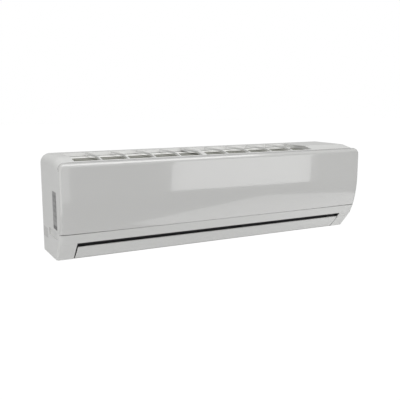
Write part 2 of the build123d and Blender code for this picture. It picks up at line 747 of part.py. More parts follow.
# ---------------------------------------------------------------- vanes and their bars
for index, x in enumerate(vane_xs()):
    name = f"vane_{index + 1}"
    with BuildPart() as vane:
        slab([duct(vane_s - vane_back, vane_foot + 6), duct(vane_s - vane_back + 8, vane_foot),
              duct(vane_s + vane_front - 4, vane_foot), duct(vane_s + vane_front, vane_foot + 5),
              duct(vane_s + vane_front, vane_top - 12), duct(vane_s + vane_front - 8, vane_top),
              duct(vane_s - vane_back + 12, vane_top), duct(vane_s - vane_back, vane_top - 16)],
             x - vane_thick / 2, x + vane_thick / 2)
        for s, low, high, radius in (
                (vane_s, vane_foot - 1, vane_top - 6, vane_boss_r), (vane_s, -wall - 1, vane_foot, vane_pin_r),
                (vane_s + bar_reach, vane_top - 10, vane_top + 0.6, 2.6),
                (vane_s + bar_reach, vane_top, vane_top + 4, bar_pin_r)):
            with BuildSketch(duct_plane(x, s, low)):
                Circle(radius)
            extrude(amount=high - low)
    save(vane, name)

for name, first in (("vane_bar_left", 0), ("vane_bar_right", vanes_per_group)):
    group = vane_xs()[first:first + vanes_per_group]
    with BuildPart() as vane_bar:
        middle = (group[0] + group[-1]) / 2
        with BuildSketch(duct_plane(middle, vane_s + bar_reach, vane_top + 1.0)):
            SlotOverall(group[-1] - group[0] + 10, bar_width)
            for i, x in enumerate(group):
                with Locations((x - middle, 0)):
                    Circle(bar_pin_r + (0.08 if i == 0 else bar_clear), mode=Mode.SUBTRACT)
        extrude(amount=bar_thick)
    save(vane_bar, name)


# ---------------------------------------------------------------- air filters
filter_face = front_wall_y + 0.8 + filter_thick / 2
filter_low = chin_top + 15.0
filter_radius = face_radius - (filter_face - front_y)
filter_low_y = front_y + face_radius - sqrt(filter_radius**2 - (face_low - filter_low) ** 2)
filter_bend = [(filter_face, 240.0), (-184.0, 266.0), (-171.0, 278.5), (front_y + top_fall_start, filter_top_h),
               (grille_rear_y - 2, filter_top_h)]
filter_ends = ((grille_left + 1, centre_rib_x - 3), (centre_rib_x + 3, grille_right - 1))


def filter_band(x0, x1, thickness):
    """Band of the filter's curved sheet from x0 to x1."""
    with BuildSketch(side_plane(x0)) as band:
        with BuildLine() as path:
            TangentArc((filter_face, face_low), (filter_low_y, filter_low), tangent=(0, -1))
            FilletPolyline((filter_face, face_low), *filter_bend, radius=8)
        trace(path.line, line_width=thickness)
    extrude(band.sketch, amount=x1 - x0)


for name, (left, right) in zip(("air_filter_left", "air_filter_right"), filter_ends):
    with BuildPart() as air_filter:
        filter_band(left, right, filter_net)
        bars = [left, right - filter_bar]
        bars += [x - filter_bar / 2 for x in rib_xs if left + 10 < x < right - 10]
        for x in bars:
            filter_band(x, x + filter_bar, filter_thick)
        for y, h in ((filter_bend[-1][0], filter_top_h), (-85.0, filter_top_h), (-140.0, filter_top_h),
                     (filter_face, face_low + 25.0), (filter_low_y + 0.2, filter_low + 2.0)):
            box(left, right, y - filter_bar / 2, y + filter_bar / 2, h - filter_thick / 2, h + filter_thick / 2)
    save(air_filter, name)

# ---------------------------------------------------------------- heat exchanger
coil_mid_y = coil_front_y + coil_thick / 2
banks = {
    "evaporator_front_lower": ((coil_mid_y, coil_low_h), (coil_mid_y, coil_knee_h), 5),
    "evaporator_front_upper": ((coil_mid_y + 6.5, coil_knee_h + 8.0), (-113.0, 257.0), 3),
    "evaporator_rear": ((-91.0, 262.0), (-40.0, 189.0), 4),
}


def across(start, end, t, out):
    """Point t millimetres from start towards end, then out millimetres square to that line."""
    dy = end[0] - start[0]
    dh = end[1] - start[1]
    length = sqrt(dy * dy + dh * dh)
    return (start[0] + (t * dy - out * dh) / length, start[1] + (t * dh + out * dy) / length)


def reach(start, end):
    return sqrt((end[0] - start[0]) ** 2 + (end[1] - start[1]) ** 2)


def bank_outline(start, end, grow):
    span = reach(start, end)
    side = coil_thick / 2 + grow
    return [across(start, end, -grow, side), across(start, end, span + grow, side),
            across(start, end, span + grow, -side), across(start, end, -grow, -side)]


for name, (start, end, tubes) in banks.items():
    with BuildPart() as bank:
        slab(bank_outline(start, end, 0), coil_left, coil_right)
    save(bank, name)

for name, x0 in (("coil_plate_left", fan_wall_left), ("coil_plate_right", coil_right)):
    with BuildPart() as plate:
        for start, end, tubes in banks.values():
            slab(bank_outline(start, end, 0.4), x0, x0 + coil_plate)
        slab([(-160, 191), (-152, 185), (-104, 230), (-62, 178), (-50, 181), (-104, 258)], x0, x0 + coil_plate)
        slab([(-127, 255), (-108, 240), (-85, 250), (-98, 268)], x0, x0 + coil_plate)
        slab([(-170, 195), (-157.2, 190), (-154, 204), (-165, 212)], x0, x0 + coil_plate)
        slab([(-160, 110), (-148, 110), (-148, 196), (-160, 200)], x0, x0 + coil_plate)
    save(plate, name)


def bend(x, start, end, t, out, side):
    """Return bend between two neighbouring tubes, outside the end plate at x."""
    a = across(start, end, t, out)
    b = across(start, end, t + tube_pitch, out)
    middle = ((a[0] + b[0]) / 2, (a[1] + b[1]) / 2)
    x_out = x + side * 5.0
    towards_b = (0, (b[0] - a[0]) / tube_pitch, (b[1] - a[1]) / tube_pitch)
    ring = Plane(origin=(x_out, a[0], base + a[1]), x_dir=towards_b, z_dir=(side, 0, 0))
    with BuildPart(mode=Mode.PRIVATE) as piece:
        with BuildSketch(ring) as section:
            Circle(tube_r)
        axis = Axis((x_out, middle[0], base + middle[1]), tuple(ring.y_dir))
        revolve(section.sketch, axis=axis, revolution_arc=180)
        for point in (a, b):
            rod(min(x, x_out), max(x, x_out), *point, tube_r)
    return piece.part


bend_solids = []
for start, end, tubes in banks.values():
    margin = (reach(start, end) - (tubes - 1) * tube_pitch) / 2
    for row in (-row_offset, row_offset):
        for k in range(tubes - 1):
            on_left = k % 2 == 0
            plate_x = fan_wall_left if on_left else fan_wall_right
            bend_solids.append(bend(plate_x, start, end, margin + k * tube_pitch, row, -1 if on_left else 1))
with BuildPart() as return_bends:
    for solid in bend_solids:
        add(solid)
save(return_bends, "return_bends")

# ---------------------------------------------------------------- refrigerant pipes
rear_start, rear_end, _ = banks["evaporator_rear"]
port_t = (reach(rear_start, rear_end) + 3 * tube_pitch) / 2
gas_port = across(rear_start, rear_end, port_t, -row_offset)
liquid_port = across(rear_start, rear_end, port_t, row_offset)
for name, port, radius, x, y, end_x, bend_r in (
        ("gas_pipe", gas_port, gas_r, pipe_xs[0], gas_y, gas_end_x, 22.0),
        ("liquid_pipe", liquid_port, liquid_r, pipe_xs[1], liquid_y, liquid_end_x, 15.0)):
    with BuildPart() as pipe:
        with BuildLine() as route:
            FilletPolyline((fan_wall_right, port[0], base + port[1]), (x, port[0], base + port[1]),
                           (x, y, base + pipe_h), (end_x, y, base + pipe_h), radius=bend_r)
        with BuildSketch(Plane(origin=route.line @ 0, z_dir=route.line % 0)) as bore:
            Circle(radius)
        sweep(bore.sketch, path=route.line)
        rod(end_x, end_x + collar_length, y, pipe_h, radius + collar)
    save(pipe, name)

for name, across_flats, radius, y, end_x, length in (
        ("gas_flare_nut", 24.0, gas_r, gas_y, gas_end_x, 24.0),
        ("liquid_flare_nut", 17.0, liquid_r, liquid_y, liquid_end_x, 18.0)):
    with BuildPart() as nut:
        with BuildSketch(side_plane(end_x - length + nut_grip)) as head:
            with Locations((y, pipe_h)):
                RegularPolygon(across_flats / 2, 6, major_radius=False, rotation=30)
        extrude(head.sketch, amount=length)
        rod(end_x, end_x + nut_grip, y, pipe_h, radius + collar + shaft_clear, mode=Mode.SUBTRACT)
        rod(end_x - length + nut_grip, end_x, y, pipe_h, radius + line_clear, mode=Mode.SUBTRACT)
    save(nut, name)

with BuildPart() as pipe_clamp:
    box(240, 254, groove_y, -4.0, pipe_h - 12, pipe_h + 12)
    for y, radius in ((gas_y, gas_r), (liquid_y, liquid_r)):
        grip = radius + shaft_clear
        box(239, 255, y - grip, y + grip, pipe_h - 13, pipe_h + grip, mode=Mode.SUBTRACT)
save(pipe_clamp, "pipe_clamp")

# ---------------------------------------------------------------- cross-flow fan
def blade_outline(angle):
    """Curved blade section at an angle round the fan."""
    inner = fan_r - blade_depth
    points = []
    for radius, lead in ((fan_r - 0.6, 0.0), (fan_r - blade_depth / 2, 4.5), (inner, 5.5)):
        turn = radians(angle + lead)
        points.append((fan_y + radius * cos(turn), fan_h + radius * sin(turn)))
    return points


with BuildPart() as cross_flow_fan:
    ring_step = (fan_right - fan_left - ring_thick) / (fan_rings - 1)
    for k in range(fan_rings):
        closed_end = k in (0, fan_rings - 1)
        with BuildSketch(side_plane(fan_left + k * ring_step)):
            with Locations((fan_y, fan_h)):
                Circle(fan_r)
                Circle(shaft_r if closed_end else fan_r - blade_depth - 1.5, mode=Mode.SUBTRACT)
        extrude(amount=ring_thick)
    for x0, x1, radius in ((fan_right - 40, fan_right - 1, 12.0), (fan_left + 1, fan_left + 12, 10.0)):
        with BuildSketch(side_plane(x0)):
            with Locations((fan_y, fan_h)):
                Circle(radius)
                Circle(shaft_r, mode=Mode.SUBTRACT)
        extrude(amount=x1 - x0)
    with BuildSketch(side_plane(fan_left + 1)):
        for k in range(fan_blades):
            with BuildLine() as vein:
                ThreePointArc(*blade_outline(k * 360 / fan_blades))
            trace(vein.line, line_width=fan_blade_thick)
    extrude(amount=fan_right - fan_left - 2)
save(cross_flow_fan, "cross_flow_fan")

bearing_left = fan_wall_left - wall - 13.0
with BuildPart() as fan_shaft:
    rod(bearing_left + 1, fan_left + 12, fan_y, fan_h, shaft_r)
save(fan_shaft, "fan_shaft")

with BuildPart() as motor_shaft:
    rod(fan_right - 35, motor_left + 8, fan_y, fan_h, shaft_r)
save(motor_shaft, "motor_shaft")

with BuildPart() as bearing_housing:
    rod(bearing_left, fan_wall_left - wall, fan_y, fan_h, bearing_r + 5)
    rod(bearing_left - 1, bearing_left + 3, fan_y, fan_h, shaft_r + 2, mode=Mode.SUBTRACT)
    for y in (-18, 18):
        box(fan_wall_left - wall - 3, fan_wall_left - wall, fan_y + y - 6, fan_y + y + 6, fan_h - 6, fan_h + 6)
    rod(bearing_left + 2, fan_wall_left - wall + 1, fan_y, fan_h, seat_r, mode=Mode.SUBTRACT)
save(bearing_housing, "bearing_housing")

with BuildPart() as fan_bearing:
    rod(bearing_left + 2, fan_wall_left - wall, fan_y, fan_h, bearing_r)
    rod(bearing_left + 1, fan_wall_left - wall + 1, fan_y, fan_h, shaft_r + shaft_clear, mode=Mode.SUBTRACT)
save(fan_bearing, "fan_bearing")

# ---------------------------------------------------------------- fan motor
with BuildPart() as fan_motor:
    rod(motor_left + 6, motor_right - 6, fan_y, fan_h, motor_r)
    rod(motor_left, motor_right, fan_y, fan_h, motor_r - 12)
    rod(motor_left - 4, motor_left + 1, fan_y, fan_h, 10.0)
    rod(motor_left - 5, motor_left + 9, fan_y, fan_h, shaft_r + shaft_clear, mode=Mode.SUBTRACT)
    fillet(fan_motor.edges().filter_by(GeomType.CIRCLE).filter_by(lambda e: e.radius > motor_r - 1), 3)
save(fan_motor, "fan_motor")

with BuildPart() as motor_clamp:
    with BuildSketch(side_plane(motor_left + 10)) as strap:
        with Locations((fan_y, fan_h)):
            Circle(motor_r + 4.5)
            Circle(motor_r + fit_gap, mode=Mode.SUBTRACT)
        with Locations((fan_y, fan_h - 50)):
            Rectangle(140, 100, mode=Mode.SUBTRACT)
        with Locations((fan_y - 52, fan_h + 1.5), (fan_y + 52, fan_h + 1.5)):
            Rectangle(14, 3)
    extrude(strap.sketch, amount=motor_length - 20)
save(motor_clamp, "motor_clamp")

# ---------------------------------------------------------------- controls
control_x = (pan_half - 79.0, pan_half - 3.0)
control_y = (-188.0, -150.0)
control_h = (104.0, 258.0)
control_wall = 2.0
control_back = control_y[1] - control_wall
board_y = control_back - 6.0
board_thick = 1.6

with BuildPart() as control_box:
    box(*control_x, *control_y, *control_h)
    box(control_x[0] + control_wall, control_x[1] - control_wall, control_y[0] - 1, control_back,
        control_h[0] + control_wall, control_h[1] - control_wall, mode=Mode.SUBTRACT)
    for x in (control_x[0] + 8, control_x[1] - 8):
        for h in (control_h[0] + 10, control_h[0] + 96):
            with BuildSketch(Plane.XZ.offset(-control_back)) as post:
                with Locations((x, base + h)):
                    Circle(3.0)
            extrude(post.sketch, amount=control_back - board_y - board_thick / 2)
    box(control_x[1] - control_wall, pan_half - 0.2, control_y[1] - 2, -90, 120, 240)
save(control_box, "control_box")

with BuildPart() as control_cover:
    box(control_x[0], control_x[1], control_y[0] - 2.3, control_y[0] - 0.3, control_h[0], 194.0)
    box(control_x[0], control_x[1], control_y[0] - 2.3, control_y[0] - 0.3, 252.5, control_h[1])
    for x in (control_x[0], control_x[1] - 8):
        box(x, x + 8, control_y[0] - 2.3, control_y[0] - 0.3, 190.0, control_h[1])
save(control_cover, "control_cover")

board_front = board_y - board_thick
with BuildPart() as circuit_board:
    box(control_x[0] + 3, control_x[1] - 3, board_front, board_y - board_thick / 2 + 0.6,
        control_h[0] + 4, control_h[0] + 102)
save(circuit_board, "circuit_board")

# relays, transformer and chips: x from the box's left side, height off the board, and h above its floor
board_blocks = [
    (7, 27, 14, 2, 24), (32, 50, 16, 2, 20), (54, 70, 12, 4, 15), (8, 22, 18, 32, 52),
    (28, 44, 10, 28, 38), (48, 70, 8, 26, 56), (8, 38, 20, 60, 86), (44, 56, 12, 64, 86)]
board_cans = [(64, 72, 5.5, 18), (62, 20.5, 3.5, 14)]
with BuildPart() as board_parts:
    for x0, x1, tall, h0, h1 in board_blocks:
        box(control_x[0] + x0, control_x[0] + x1, board_front - tall, board_front,
            control_h[0] + h0, control_h[0] + h1)
    for x, h, radius, tall in board_cans:
        with BuildSketch(Plane.XZ.offset(-board_front)) as can:
            with Locations((control_x[0] + x, base + control_h[0] + h)):
                Circle(radius)
        extrude(can.sketch, amount=tall)
save(board_parts, "board_parts")

with BuildPart() as terminal_block:
    box(control_x[0] + 10, control_x[0] + 66, control_back - 22, control_back, 206, 240)
    for k in range(4):
        x = control_x[0] + 17 + k * 14
        box(x - 5.5, x + 5.5, control_back - 24, control_back - 10, 210, 236, mode=Mode.SUBTRACT)
        with BuildSketch(Plane.XZ.offset(-control_back + 10)) as screw:
            with Locations((x, base + 216), (x, base + 230)):
                Circle(3.5)
        extrude(screw.sketch, amount=5)
save(terminal_block, "terminal_block")

with BuildPart() as terminal_cover:
    with BuildSketch(Plane.XZ.offset(-(front_skin_y - 0.2))) as cover:
        with Locations((cover_x, base + cover_h)):
            RectangleRounded(cover_width, cover_height, 3)
    extrude(cover.sketch, amount=2.0)
save(terminal_cover, "terminal_cover")

with BuildPart() as display_module:
    box(display_x - 34, display_x + 34, front_wall_y + 6.0, front_wall_y + 7.6, 180.0, 234.0)
    box(display_x - display_width / 2, display_x + display_width / 2, front_wall_y - 4.5, front_wall_y + 6.0,
        display_h - display_height / 2, display_h + display_height / 2)
    box(button_x - 6, button_x + 6, front_wall_y + 4.2, front_wall_y + 6.0, button_h - 6, button_h + 6)
    for x in (display_x - 31, display_x + 31):
        box(x - 2, x + 2, front_wall_y + fit_gap, front_wall_y + 6.5, 182, 188)
save(display_module, "display_module")

with BuildPart() as test_button:
    with BuildSketch(Plane.XZ.offset(-(front_wall_y + 0.2 + 1.5))) as flange_disc:
        with Locations((button_x, base + button_h)):
            Circle(button_r + 2)
    extrude(flange_disc.sketch, amount=1.5)
    with BuildSketch(Plane.XZ.offset(-(front_wall_y + 1.0))) as stem:
        with Locations((button_x, base + button_h)):
            Circle(button_r)
    extrude(stem.sketch, amount=wall + 1.0 + 2.6)
save(test_button, "test_button")

with BuildPart() as room_sensor:
    sensor_y = front_inside(120.0) + fit_gap
    box(360.0, 372.0, sensor_y, sensor_y + 6.0, 120.0, 134.0)
    rod(352.0, 372.0, sensor_y + 4.0, 127.0, 2.5)
save(room_sensor, "room_sensor")

with BuildPart() as coil_sensor:
    rod(fan_wall_right, fan_wall_right + 24, coil_mid_y, coil_low_h + 18.25, 4.0)
save(coil_sensor, "coil_sensor")

# ---------------------------------------------------------------- screws
with BuildPart() as casing_screws:
    for x in screw_xs:
        with BuildSketch(duct_plane(x, -12, flange_n - 2.6)) as head:
            Circle(3.6)
        extrude(head.sketch, amount=2.6)
        with BuildSketch(duct_plane(x, -12, flange_n - 0.5)) as shank:
            Circle(1.7)
        extrude(shank.sketch, amount=11.0)
save(casing_screws, "casing_screws")

# ---------------------------------------------------------------- wall plate
with BuildPart() as wall_plate:
    box(-plate_half, plate_half, -plate_thick, 0, plate_low, plate_high + plate_thick)
    for x in (-260.0, -170.0, 170.0, 260.0):
        for h in (82.0, 218.0):
            box(x - 35, x + 35, -2, 1, h - 16, h + 16, mode=Mode.SUBTRACT)
    for x in (-390.0, 390.0):
        box(x - 20, x + 20, -2, 1, 110, 190, mode=Mode.SUBTRACT)
    for x in hook_xs:
        box(x - hook_width / 2, x + hook_width / 2, -8.8, 0, plate_high, plate_high + plate_thick)
        box(x - hook_width / 2, x + hook_width / 2, -8.8, -7.6, plate_high, plate_high + 9)
    for h in (130.0, 170.0):
        box(-350, 350, -plate_thick - 1.2, -plate_thick, h - 3, h + 3)
    with BuildSketch(Plane.XZ) as holes:
        with GridLocations(screw_span_x, screw_span_z, 2, 2):
            Circle(wall_screw_r)
        with GridLocations(100.0, 190.0, 7, 2):
            Circle(2.25)
    extrude(holes.sketch, amount=12, both=True, mode=Mode.SUBTRACT)
save(wall_plate, "wall_plate")
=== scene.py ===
from math import asin, cos, pi, radians, sin, sqrt

import bpy
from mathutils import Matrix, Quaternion, Vector


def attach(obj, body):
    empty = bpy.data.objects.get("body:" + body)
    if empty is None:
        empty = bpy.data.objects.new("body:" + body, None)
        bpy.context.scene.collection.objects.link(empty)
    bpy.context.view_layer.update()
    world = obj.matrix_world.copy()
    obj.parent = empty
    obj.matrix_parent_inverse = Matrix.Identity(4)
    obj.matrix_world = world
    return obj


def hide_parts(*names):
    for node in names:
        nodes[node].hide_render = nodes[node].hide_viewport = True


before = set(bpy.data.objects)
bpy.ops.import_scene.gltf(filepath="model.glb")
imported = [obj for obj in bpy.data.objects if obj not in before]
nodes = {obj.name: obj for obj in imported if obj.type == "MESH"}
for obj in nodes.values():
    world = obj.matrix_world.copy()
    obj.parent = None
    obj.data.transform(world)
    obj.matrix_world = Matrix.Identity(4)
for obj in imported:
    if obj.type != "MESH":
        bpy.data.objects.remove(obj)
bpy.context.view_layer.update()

# ---------------------------------------------------------------- view
# The camera stands off the unit's left end and a little above it, and looks slightly down at it.
# Colours show as they are written.
camera_tilt = 0.172  # below the level, in radians
camera_turn = 0.485  # to the right of straight ahead
camera = bpy.data.objects.new("camera", bpy.data.cameras.new("camera"))
bpy.context.scene.collection.objects.link(camera)
bpy.context.scene.camera = camera
camera.location = (-0.92327, -1.77153, 0.31297)
camera.rotation_euler = (pi / 2 - camera_tilt, 0, -camera_turn)
camera.data.lens = 52.8
camera.data.sensor_width = 36
camera.data.shift_x = 0.0004
camera.data.shift_y = -0.0023
bpy.context.scene.view_settings.view_transform = "Standard"

# ---------------------------------------------------------------- room
# Pale seamless floor under the wall unit, a bright sky and soft boxes.  Floor and sky show pure
# white to the camera, and less than that to the glossy panel.
floor_reach = 30
floor_height = -1.15
floor_corners = [(-floor_reach, -floor_reach, 0), (floor_reach, -floor_reach, 0),
                 (floor_reach, floor_reach, 0), (-floor_reach, floor_reach, 0)]
floor_mesh = bpy.data.meshes.new("floor")
floor_mesh.from_pydata(floor_corners, [], [(0, 1, 2, 3)])
floor = bpy.data.objects.new("floor", floor_mesh)
bpy.context.scene.collection.objects.link(floor)
floor.location.z = floor_height


class Shade:
    """What a shader node gives, so that sums of shader values read as arithmetic."""

    def __init__(self, tree, socket):
        self.tree = tree
        self.socket = socket

    def sum_with(self, operation, other, swapped=False):
        node = self.tree.nodes.new("ShaderNodeMath")
        node.operation = operation
        for socket, value in zip(node.inputs, (other, self) if swapped else (self, other)):
            plug(self.tree, socket, value)
        return Shade(self.tree, node.outputs[0])

    def __add__(self, other):
        return self.sum_with("ADD", other)

    def __sub__(self, other):
        return self.sum_with("SUBTRACT", other)

    def __rsub__(self, other):
        return self.sum_with("SUBTRACT", other, swapped=True)

    def __mul__(self, other):
        return self.sum_with("MULTIPLY", other)

    def __gt__(self, other):
        return self.sum_with("GREATER_THAN", other)

    def __lt__(self, other):
        return self.sum_with("LESS_THAN", other)

    def __mod__(self, other):
        return self.sum_with("MODULO", other)

    __radd__ = __add__
    __rmul__ = __mul__


def plug(tree, socket, value):
    """Link a shader value to a socket, or set a plain one on it."""
    if isinstance(value, Shade):
        tree.links.new(value.socket, socket)
    else:
        socket.default_value = value


class ShaderTree:
    """The shader nodes of a material or of the sky."""

    def __init__(self, owner):
        owner.use_nodes = True
        self.tree = owner.node_tree
        self.tree.nodes.clear()

    def node(self, kind, settings=None, output=0, **sockets):
        """Add a node: its settings come first, then the values or links of its sockets."""
        node = self.tree.nodes.new(kind)
        for key, value in (settings or {}).items():
            setattr(node, key, value)
        for key, value in sockets.items():
            fitting = (s for s in node.inputs
                       if s.enabled and key in (s.name.replace(" ", "_"), s.identifier))
            plug(self.tree, next(fitting), value)
        return Shade(self.tree, node.outputs[output]) if node.outputs else None

    def rays(self):
        """Whether a ray is the camera's own, a reflection, or one through glass."""
        kinds = ("Is Camera Ray", "Is Glossy Ray", "Is Transmission Ray")
        return [self.node("ShaderNodeLightPath", output=kind) for kind in kinds]


floor_paint = bpy.data.materials.new("floor_paint")
paint = ShaderTree(floor_paint)
speck = paint.node("ShaderNodeTexNoise", Scale=40.0,
                   Vector=paint.node("ShaderNodeTexCoord", output="Object"))
matt = paint.node("ShaderNodeBsdfPrincipled", Base_Color=(0.8, 0.8, 0.8, 1),
                  Roughness=0.85 + 0.1 * speck, Specular_IOR_Level=0.1)
white = paint.node("ShaderNodeEmission", Color=(1, 1, 1, 1), Strength=1.1)
seen, mirrored, through_glass = paint.rays()
whiteness = seen * 0.9 + mirrored * 0.2 + through_glass * 0.9
mixed = paint.node("ShaderNodeMixShader", Fac=whiteness, Shader=matt, Shader_001=white)
paint.node("ShaderNodeOutputMaterial", Surface=mixed)
floor_mesh.materials.append(floor_paint)

sky = bpy.data.worlds.new("sky")
bpy.context.scene.world = sky
air = ShaderTree(sky)
seen, mirrored, through_glass = air.rays()
ambient = 0.42  # on the unit, where 1 is the white that the camera sees
glossy_sky = 0.28
brightness = (ambient + (1 - ambient) * seen + (glossy_sky - ambient) * mirrored
              + (1 - ambient) * through_glass)
glow = air.node("ShaderNodeBackground", Color=(1, 1, 1, 1), Strength=brightness)
air.node("ShaderNodeOutputWorld", Surface=glow)


def soft_box(name, place, aim, width, height, power, roll=0.0):
    """Rectangular studio light at a place, turned to its aim and rolled about the line to it."""
    lamp = bpy.data.objects.new(name, bpy.data.lights.new(name, "AREA"))
    lamp.data.shape = "RECTANGLE"
    lamp.data.size = width
    lamp.data.size_y = height
    lamp.data.energy = power
    bpy.context.scene.collection.objects.link(lamp)
    lamp.location = place
    turned_to_aim = (Vector(place) - Vector(aim)).to_track_quat("Z", "Y")
    lamp.rotation_mode = "QUATERNION"
    lamp.rotation_quaternion = turned_to_aim @ Quaternion((0, 0, 1), roll)


# from above, then the bright window that the panel mirrors, then the two that light its left end
soft_box("ceiling_box", (0.0, -0.35, 2.2), (0.0, -0.1, 0.1), width=3.0, height=1.6, power=37)
soft_box("front_box", (1.34, -2.2, 0.24), (1.34, 0.0, 0.24), width=1.165, height=1.2, power=7.8,
         roll=-0.06)
soft_box("left_box", (-2.5, -0.8, 0.25), (-0.5, -0.1, 0.0), width=2.4, height=2.2, power=18)
soft_box("left_back_box", (-0.9, -2.4, 0.3), (-0.9, 0.0, 0.3), width=1.5, height=1.6, power=5)
# a pale sheet low on the right, which the curved foot of the panel mirrors
soft_box("low_sheet", (1.6, -1.38, -1.14), (1.6, -1.38, 0.0), width=2.2, height=1.6, power=9,
         roll=0.68)

# ---------------------------------------------------------------- front panel
# One thin glossy moulding over the whole front.  It hangs from two pins at its upper corners
# and wraps back over the brow, with softly drawn-in ends.
screw_height = 0.150  # the origin above the unit's underside
half_width = 0.530
panel_front = -0.218
face_low = 0.190 - screw_height  # the flat of the front ends here and curves back below it
face_radius = 0.33276
chin_top = 0.085 - screw_height
seam_middle = 0.0005  # gap over the chin in the middle of the unit, and at its ends
seam_end = 0.0021
foot_rounding = 0.0009  # of the panel's lower edge
panel_rim = 0.0095
brow_start = 0.2718 - screw_height
brow_depth = 0.011
brow_rise = 0.0137
brow_slope = 0.0125 / 0.057
panel_back = -0.1988
wrap_low = 0.2670 - screw_height  # the rim deepens to panel_back over wrap_ease above this
wrap_ease = 0.0040
panel_wall = 0.0025
top_end_radius = 0.017
front_end_radius = 0.010
crown_reach = 0.050
crown_depth = 0.003
rim_steps = 3
rounding_steps = 5
curve_steps = 26
flat_steps = 16
brow_steps = 12
wrap_steps = 4


def roll_in(distance, radius):
    """How far a rounded edge has drawn in at a distance from the end."""
    if distance >= radius:
        return 0.0
    return radius - sqrt(radius**2 - (radius - distance) ** 2)


def face_back(z):
    """How far the front has curved back at a height below its flat part."""
    return face_radius - sqrt(face_radius**2 - max(0.0, face_low - z) ** 2)


def panel_profile(distance, x):
    """Points up the panel's outer face at a distance from its end and at x, as (y, z)."""
    panel_foot = chin_top + seam_middle + (seam_end - seam_middle) * (abs(x) / half_width) ** 3
    draw = crown_depth * max(0.0, 1 - distance / crown_reach) ** 2
    y_front = panel_front + roll_in(distance, front_end_radius) + draw
    drop = roll_in(distance, top_end_radius)
    points = []
    edge = foot_rounding
    y_foot = y_front + face_back(panel_foot)
    for k in range(rim_steps + 1):
        points.append((y_foot + panel_rim - (panel_rim - edge) * k / rim_steps, panel_foot))
    for k in range(1, rounding_steps):
        turn = pi / 2 * k / rounding_steps
        points.append((y_foot + edge - edge * sin(turn), panel_foot + edge - edge * cos(turn)))
    for k in range(curve_steps + 1):
        z = panel_foot + edge + (face_low - panel_foot - edge) * k / curve_steps
        points.append((y_front + face_back(z), z))
    top = brow_start - drop
    for k in range(1, flat_steps + 1):
        points.append((y_front, face_low + (top - face_low) * k / flat_steps))
    # the brow is an arc that leaves the face upwards and ends brow_depth back
    radius = (brow_depth**2 + brow_rise**2) / (2 * brow_depth)
    sweep = asin(brow_rise / radius)
    for k in range(1, brow_steps + 1):
        turn = sweep * k / brow_steps
        points.append((y_front + radius * (1 - cos(turn)), top + radius * sin(turn)))
    y_end, z_end = points[-1]
    for k in range(1, wrap_steps + 1):
        y = y_end + (panel_back - y_end) * k / wrap_steps
        points.append((y, z_end + (y - y_end) * brow_slope))
    limited = []
    for y, z in points:
        rim_back = panel_front + panel_rim + face_back(z)
        wrap = min(1.0, max(0.0, (z - wrap_low) / wrap_ease))
        limited.append((min(y, rim_back + (panel_back - rim_back) * wrap), z))
    return limited


def smooth(mesh, corner=radians(28)):
    """Shade a mesh smooth, but for its real corners."""
    mesh.shade_smooth()
    mesh.set_sharp_from_angle(angle=corner)


def build_mesh(name, vertices, faces):
    """Object in the scene from vertices and faces."""
    mesh = bpy.data.meshes.new(name)
    mesh.from_pydata(vertices, [], faces)
    mesh.update()
    piece = bpy.data.objects.new(name, mesh)
    bpy.context.scene.collection.objects.link(piece)
    return piece


# stations along the panel, closer together where its ends draw in
end_steps = [0.0004, 0.0008, 0.0014, 0.0022, 0.0032, 0.0044, 0.0058, 0.0074, 0.0092, 0.0112,
             0.0136, 0.0165, 0.02, 0.024, 0.028, 0.033, 0.038, 0.044, 0.05]
middle_steps = 24
stations = [(-half_width + d, d) for d in end_steps]
for k in range(1, middle_steps):
    x = -half_width + crown_reach + (2 * half_width - 2 * crown_reach) * k / middle_steps
    stations.append((x, crown_reach))
stations += [(half_width - d, d) for d in reversed(end_steps)]

panel_vertices = []
for x, distance in stations:
    panel_vertices += [(x, y, z) for y, z in panel_profile(distance, x)]
rows = len(panel_profile(crown_reach, 0.0))
panel_faces = []
for i in range(len(stations) - 1):
    for j in range(rows - 1):
        a = i * rows + j
        panel_faces.append((a, a + rows, a + rows + 1, a + 1))
panel = build_mesh("panel_shell", panel_vertices, panel_faces)
thick = panel.modifiers.new("wall", "SOLIDIFY")
thick.thickness = panel_wall
thick.offset = -1
smooth(panel.data)
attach(panel, "panel")
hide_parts("front_panel")


def prism(name, outline, x0, x1, edge):
    """Solid across the unit from x0 to x1 over an outline of (y, z) points, with broken edges."""
    count = len(outline)
    vertices = [(x, y, z) for x in (x0, x1) for y, z in outline]
    faces = [tuple(range(count)), tuple(range(2 * count - 1, count - 1, -1))]
    faces += [(k, k + count, (k + 1) % count + count, (k + 1) % count) for k in range(count)]
    piece = build_mesh(name, vertices, faces)
    broken = piece.modifiers.new("edges", "BEVEL")
    broken.width = edge
    broken.segments = 2
    broken.limit_method = "ANGLE"
    smooth(piece.data)
    return piece


def turned(name, profile, y, z, count=32):
    """Turned piece about an axis along X: its profile is a list of (x, radius)."""
    vertices = []
    for x, radius in profile:
        for k in range(count):
            turn = 2 * pi * k / count
            vertices.append((x, y + radius * cos(turn), z + radius * sin(turn)))
    faces = [tuple(range(count)), tuple(range(len(vertices) - 1, len(vertices) - count - 1, -1))]
    for row in range(len(profile) - 1):
        for k in range(count):
            a = row * count + k
            b = row * count + (k + 1) % count
            faces.append((a, a + count, b + count, b))
    piece = build_mesh(name, vertices, faces)
    smooth(piece.data)
    return piece


